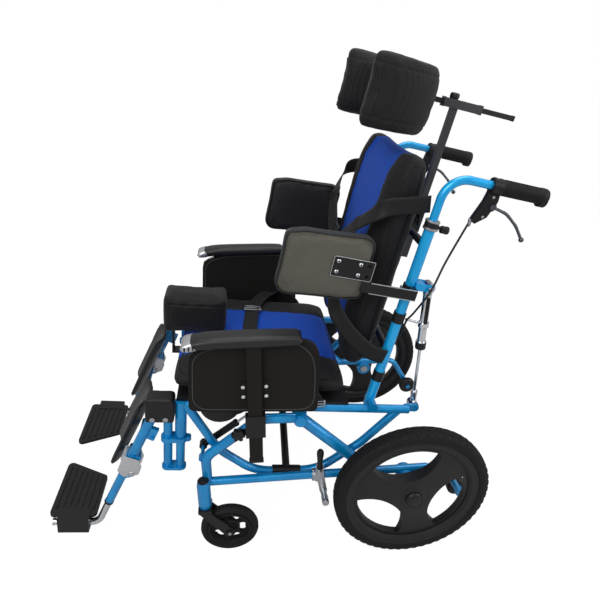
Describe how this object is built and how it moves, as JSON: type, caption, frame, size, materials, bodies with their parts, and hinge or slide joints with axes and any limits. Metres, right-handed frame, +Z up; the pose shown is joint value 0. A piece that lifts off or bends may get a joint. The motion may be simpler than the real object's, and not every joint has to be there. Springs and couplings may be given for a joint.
{
  "type": "tilt in space wheelchair",
  "caption": "Transport wheelchair with tilting seat, reclining back, winged head support, side supports, chest straps, pommel, push handles and elevating legrests.",
  "frame": {"origin": "middle of the bounding box, on the floor under the chair", "axes": "+Z up, +X to the seated person's left, -Y the way the chair faces"},
  "size_m": [0.7048, 1.1968, 1.2169],
  "materials": {
    "frame_blue": "satin metallic blue lacquer",
    "back_blue": "bright metallic blue lacquer",
    "brace_black": "satin black",
    "wheel_black": "moulded, matte",
    "tyre_black": "small block tread",
    "caster_black": "solid rubber on a moulded hub",
    "axle_steel": "zinc plated",
    "lock_grey": "plated lever with a black grip",
    "strut_black": "gloss black gas cylinder",
    "rod_chrome": "polished rod",
    "part_black": "black moulded plastic",
    "lever_grey": "satin grey",
    "head_grey": "satin grey",
    "grip_black": "ribbed grip",
    "cable_black": "smooth cable cover",
    "cushion_cloth": "black mesh with a blue sewn panel",
    "head_cloth": "fine black mesh",
    "pommel_cloth": "black mesh cover with a bevelled top",
    "lateral_cloth": "olive grey cloth with a bound edge",
    "webbing": "woven webbing",
    "skirt_black": "black clothing guard on a board",
    "pad_black": "black padded vinyl"
  },
  "bodies": {
    "base": {"base_frame_left": "frame_blue", "base_frame_right": "frame_blue", "rear_axles": "axle_steel", "wheel_lock_clamps": "axle_steel", "anti_tip_arms": "frame_blue"},
    "seat": {"seat_frame_left": "frame_blue", "seat_frame_right": "frame_blue", "cross_brace": "brace_black", "seat_cushion": "cushion_cloth", "armrest_sockets": "part_black", "lap_belt": "webbing"},
    "back": {"back_tubes": "back_blue", "back_crossbars": "back_blue", "back_cushion": "cushion_cloth", "back_collars": "part_black", "harness_straps": "webbing", "brake_cables": "cable_black", "lateral_brackets": "brace_black", "lateral_pads": "lateral_cloth"},
    "anti_tip_wheels": {"anti_tip_wheels": "caster_black"},
    "tilt_cylinders": {"tilt_cylinders": "strut_black"},
    "tilt_rods": {"tilt_rods": "rod_chrome"},
    "recline_cylinders": {"recline_cylinders": "rod_chrome"},
    "recline_rods": {"recline_rods": "rod_chrome"},
    "pommel": {"pommel": "pommel_cloth"},
    "headrest_post": {"headrest_post": "head_grey"},
    "headrest_arm": {"headrest_arm": "head_grey"},
    "headrest_pad": {"headrest_pad": "head_cloth"},
    "rear_wheel_left": {"rear_wheel_left": "wheel_black", "rear_tyre_left": "tyre_black"},
    "caster_fork_left": {"caster_fork_left": "brace_black"},
    "caster_wheel_left": {"caster_wheel_left": "caster_black"},
    "wheel_lock_left": {"wheel_lock_left": "lock_grey"},
    "armrest_left": {"armrest_left": "skirt_black", "arm_pad_left": "pad_black"},
    "hanger_left": {"hanger_left": "frame_blue", "knee_cap_left": "part_black"},
    "legrest_left": {"leg_tube_left": "frame_blue", "calf_pad_left": "pad_black"},
    "foot_tube_left": {"foot_tube_left": "rod_chrome"},
    "footplate_left": {"footplate_left": "part_black"},
    "push_handle_left": {"push_handle_left": "back_blue", "handle_grip_left": "grip_black"},
    "brake_lever_left": {"brake_lever_left": "lever_grey"},
    "rear_wheel_right": {"rear_wheel_right": "wheel_black", "rear_tyre_right": "tyre_black"},
    "caster_fork_right": {"caster_fork_right": "brace_black"},
    "caster_wheel_right": {"caster_wheel_right": "caster_black"},
    "wheel_lock_right": {"wheel_lock_right": "lock_grey"},
    "armrest_right": {"armrest_right": "skirt_black", "arm_pad_right": "pad_black"},
    "hanger_right": {"hanger_right": "frame_blue", "knee_cap_right": "part_black"},
    "legrest_right": {"leg_tube_right": "frame_blue", "calf_pad_right": "pad_black"},
    "foot_tube_right": {"foot_tube_right": "rod_chrome"},
    "footplate_right": {"footplate_right": "part_black"},
    "push_handle_right": {"push_handle_right": "back_blue", "handle_grip_right": "grip_black"},
    "brake_lever_right": {"brake_lever_right": "lever_grey"}
  },
  "joints": [
    {"name": "rear_wheel_left_spin", "type": "hinge", "parent": "base", "child": "rear_wheel_left", "pos_m": [0.321, 0.34099, 0.203], "axis": [1, 0, 0], "continuous": true},
    {"name": "caster_left_swivel", "type": "hinge", "parent": "base", "child": "caster_fork_left", "pos_m": [0.28, -0.18901, 0.2], "axis": [0, 0, 1], "continuous": true},
    {"name": "caster_left_spin", "type": "hinge", "parent": "caster_fork_left", "child": "caster_wheel_left", "pos_m": [0.28, -0.12901, 0.076], "axis": [1, 0, 0], "continuous": true},
    {"name": "wheel_lock_left_turn", "type": "hinge", "parent": "base", "child": "wheel_lock_left", "pos_m": [0.276, 0.10699, 0.247], "axis": [1, 0, 0], "range_deg": [0, 10]},
    {"name": "rear_wheel_right_spin", "type": "hinge", "parent": "base", "child": "rear_wheel_right", "pos_m": [-0.321, 0.34099, 0.203], "axis": [1, 0, 0], "continuous": true},
    {"name": "caster_right_swivel", "type": "hinge", "parent": "base", "child": "caster_fork_right", "pos_m": [-0.28, -0.18901, 0.2], "axis": [0, 0, 1], "continuous": true},
    {"name": "caster_right_spin", "type": "hinge", "parent": "caster_fork_right", "child": "caster_wheel_right", "pos_m": [-0.28, -0.12901, 0.076], "axis": [1, 0, 0], "continuous": true},
    {"name": "wheel_lock_right_turn", "type": "hinge", "parent": "base", "child": "wheel_lock_right", "pos_m": [-0.276, 0.10699, 0.247], "axis": [1, 0, 0], "range_deg": [0, 10]},
    {"name": "anti_tip_wheels_spin", "type": "hinge", "parent": "base", "child": "anti_tip_wheels", "pos_m": [0, 0.50699, 0.124], "axis": [1, 0, 0], "continuous": true},
    {"name": "tilt", "type": "hinge", "parent": "base", "child": "seat", "pos_m": [0, 0.05599, 0.413], "axis": [-1, 0, 0], "range_deg": [0, 25]},
    {"name": "tilt_cylinder_turn", "type": "hinge", "parent": "base", "child": "tilt_cylinders", "pos_m": [0, -0.18901, 0.298], "axis": [1, 0, 0], "range_deg": [0, 11]},
    {"name": "tilt_rod_turn", "type": "hinge", "parent": "seat", "child": "tilt_rods", "pos_m": [0, -0.05402, 0.39999], "axis": [1, 0, 0], "range_deg": [0, 36]},
    {"name": "recline", "type": "hinge", "parent": "seat", "child": "back", "pos_m": [0, 0.2411, 0.41599], "axis": [-1, 0, 0], "range_deg": [0, 35]},
    {"name": "recline_rod_turn", "type": "hinge", "parent": "seat", "child": "recline_rods", "pos_m": [0, 0.35774, 0.39603], "axis": [-1, 0, 0], "range_deg": [0, 37]},
    {"name": "recline_cylinder_turn", "type": "hinge", "parent": "back", "child": "recline_cylinders", "pos_m": [0, 0.35587, 0.73392], "axis": [-1, 0, 0], "range_deg": [0, 2]},
    {"name": "armrest_left_rise", "type": "slide", "parent": "seat", "child": "armrest_left", "axis": [0, 0, 1], "range_m": [0, 0.07]},
    {"name": "hanger_left_swing", "type": "hinge", "parent": "seat", "child": "hanger_left", "pos_m": [0.232, -0.23172, 0.4402], "axis": [0, 0.0941, 0.9956], "range_deg": [0, 90]},
    {"name": "legrest_left_raise", "type": "hinge", "parent": "hanger_left", "child": "legrest_left", "pos_m": [0.23, -0.29896, 0.42496], "axis": [-1, 0, 0], "range_deg": [0, 60]},
    {"name": "foot_left_extend", "type": "slide", "parent": "legrest_left", "child": "foot_tube_left", "axis": [0, -0.4571, -0.8894], "range_m": [0, 0.06]},
    {"name": "footplate_left_flip", "type": "hinge", "parent": "foot_tube_left", "child": "footplate_left", "pos_m": [0.23, -0.47951, 0.07364], "axis": [0, 0.9945, -0.1045], "range_deg": [0, 90]},
    {"name": "armrest_right_rise", "type": "slide", "parent": "seat", "child": "armrest_right", "axis": [0, 0, 1], "range_m": [0, 0.07]},
    {"name": "hanger_right_swing", "type": "hinge", "parent": "seat", "child": "hanger_right", "pos_m": [-0.232, -0.23172, 0.4402], "axis": [0, -0.0941, -0.9956], "range_deg": [0, 90]},
    {"name": "legrest_right_raise", "type": "hinge", "parent": "hanger_right", "child": "legrest_right", "pos_m": [-0.23, -0.29896, 0.42496], "axis": [-1, 0, 0], "range_deg": [0, 60]},
    {"name": "foot_right_extend", "type": "slide", "parent": "legrest_right", "child": "foot_tube_right", "axis": [0, -0.4571, -0.8894], "range_m": [0, 0.06]},
    {"name": "footplate_right_flip", "type": "hinge", "parent": "foot_tube_right", "child": "footplate_right", "pos_m": [-0.23, -0.47951, 0.07364], "axis": [0, -0.9945, 0.1045], "range_deg": [0, 90]},
    {"name": "pommel_slide", "type": "slide", "parent": "seat", "child": "pommel", "axis": [0, -0.9956, 0.0941], "range_m": [0, 0.06]},
    {"name": "push_handle_left_rise", "type": "slide", "parent": "back", "child": "push_handle_left", "axis": [0, 0.2113, 0.9774], "range_m": [0, 0.08]},
    {"name": "brake_lever_left_squeeze", "type": "hinge", "parent": "push_handle_left", "child": "brake_lever_left", "pos_m": [0.207, 0.4716, 0.92375], "axis": [1, 0, 0], "range_deg": [0, 22], "stiffness_Nm_per_rad": 2},
    {"name": "push_handle_right_rise", "type": "slide", "parent": "back", "child": "push_handle_right", "axis": [0, 0.2113, 0.9774], "range_m": [0, 0.08]},
    {"name": "brake_lever_right_squeeze", "type": "hinge", "parent": "push_handle_right", "child": "brake_lever_right", "pos_m": [-0.207, 0.4716, 0.92375], "axis": [1, 0, 0], "range_deg": [0, 22], "stiffness_Nm_per_rad": 2},
    {"name": "headrest_rise", "type": "slide", "parent": "back", "child": "headrest_post", "axis": [0, 0.2113, 0.9774], "range_m": [0, 0.08]},
    {"name": "headrest_reach", "type": "slide", "parent": "headrest_post", "child": "headrest_arm", "axis": [0, -0.9774, 0.2113], "range_m": [0, 0.06]},
    {"name": "headrest_pad_tilt", "type": "hinge", "parent": "headrest_arm", "child": "headrest_pad", "pos_m": [0, 0.35674, 1.1307], "axis": [1, 0, 0], "range_deg": [-15, 15]}
  ],
  "couplings": [
    {"joint": "tilt_cylinder_turn", "follows": "tilt", "ratio": 0.422},
    {"joint": "tilt_rod_turn", "follows": "tilt", "ratio": 1.422},
    {"joint": "recline_rod_turn", "follows": "recline", "ratio": 1.032},
    {"joint": "recline_cylinder_turn", "follows": "recline", "ratio": 0.032}
  ]
}
